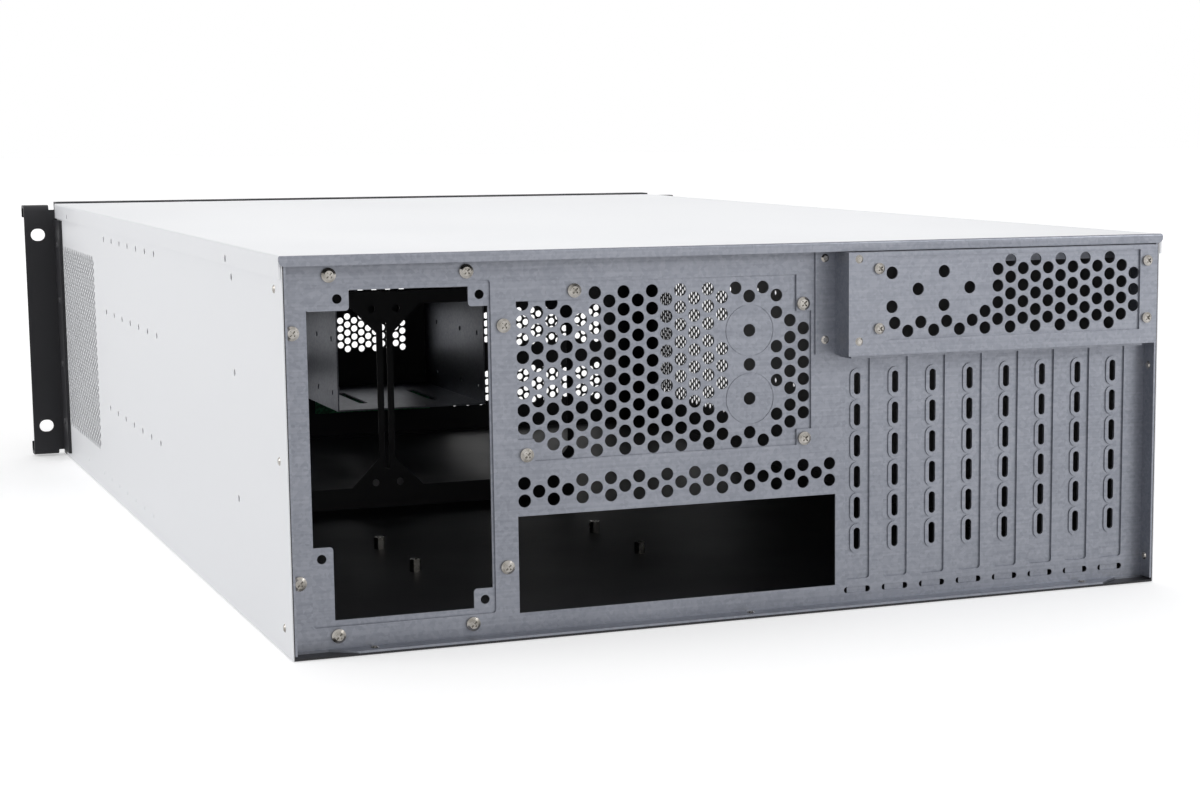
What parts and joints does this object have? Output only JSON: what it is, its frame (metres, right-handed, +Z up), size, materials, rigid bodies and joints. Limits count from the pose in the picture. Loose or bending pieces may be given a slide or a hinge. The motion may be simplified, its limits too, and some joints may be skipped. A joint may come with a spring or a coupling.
{
  "type": "rackmount_server_case",
  "caption": "Rackmount server case of four units with vented sheet metal, slot covers, power supply opening, ears, fan wall and drive cage",
  "frame": {"origin": "middle of the footprint, at the level of the case's underside", "axes": "+X to the right seen from the front, +Y from the front panel to the rear panel, +Z up"},
  "size_m": [0.4826, 0.7354, 0.177],
  "materials": {
    "white_powder_coat": "fine powder coat, slightly textured",
    "galvanised_steel": "bare galvanised sheet, dull",
    "black_powder_coat": "satin black powder coat",
    "nickel_plate": "nickel plated, softly bright",
    "black_plastic": "moulded, matt",
    "light_lens": "clear lens, glossy",
    "circuit_board": "green solder resist"
  },
  "bodies": {
    "chassis": {"bottom_pan": "black_powder_coat", "side_wall_left": "white_powder_coat", "side_wall_right": "white_powder_coat", "front_panel": "black_powder_coat", "rack_ear_left": "black_powder_coat", "rack_ear_right": "black_powder_coat", "ear_screws": "black_powder_coat", "rear_frame": "galvanised_steel", "rear_panel": "galvanised_steel", "psu_bracket": "galvanised_steel", "psu_screws": "nickel_plate", "vent_plate": "galvanised_steel", "vent_plate_screws": "nickel_plate", "slot_hood": "galvanised_steel", "hood_vent_plate": "galvanised_steel", "hood_screws": "nickel_plate", "slot_cover_1": "galvanised_steel", "slot_cover_2": "galvanised_steel", "slot_cover_3": "galvanised_steel", "slot_cover_4": "galvanised_steel", "slot_cover_5": "galvanised_steel", "slot_cover_6": "galvanised_steel", "slot_cover_7": "galvanised_steel", "slot_cover_8": "galvanised_steel", "slot_screws": "nickel_plate", "panel_rivets": "nickel_plate", "fan_wall": "black_powder_coat", "fan_wall_screws": "nickel_plate", "cage_wall_left": "galvanised_steel", "cage_wall_right": "galvanised_steel", "cage_floor": "galvanised_steel", "cage_roof": "galvanised_steel", "board_standoffs": "nickel_plate", "status_lights": "light_lens", "usb_ports": "galvanised_steel", "control_board": "circuit_board"},
    "top_cover": {"top_cover": "white_powder_coat"},
    "power_button": {"power_button": "nickel_plate"},
    "reset_button": {"reset_button": "black_plastic"}
  },
  "joints": [
    {"name": "top_cover_lift", "type": "slide", "parent": "chassis", "child": "top_cover", "axis": [0, 0, 1], "range_m": [0, 0.15]},
    {"name": "power_button_press", "type": "slide", "parent": "chassis", "child": "power_button", "axis": [0, 1, 0], "range_m": [0, 0.0015], "stiffness_N_per_m": 400, "springref_m": -0.0005},
    {"name": "reset_button_press", "type": "slide", "parent": "chassis", "child": "reset_button", "axis": [0, 1, 0], "range_m": [0, 0.0015], "stiffness_N_per_m": 400, "springref_m": -0.0005}
  ]
}
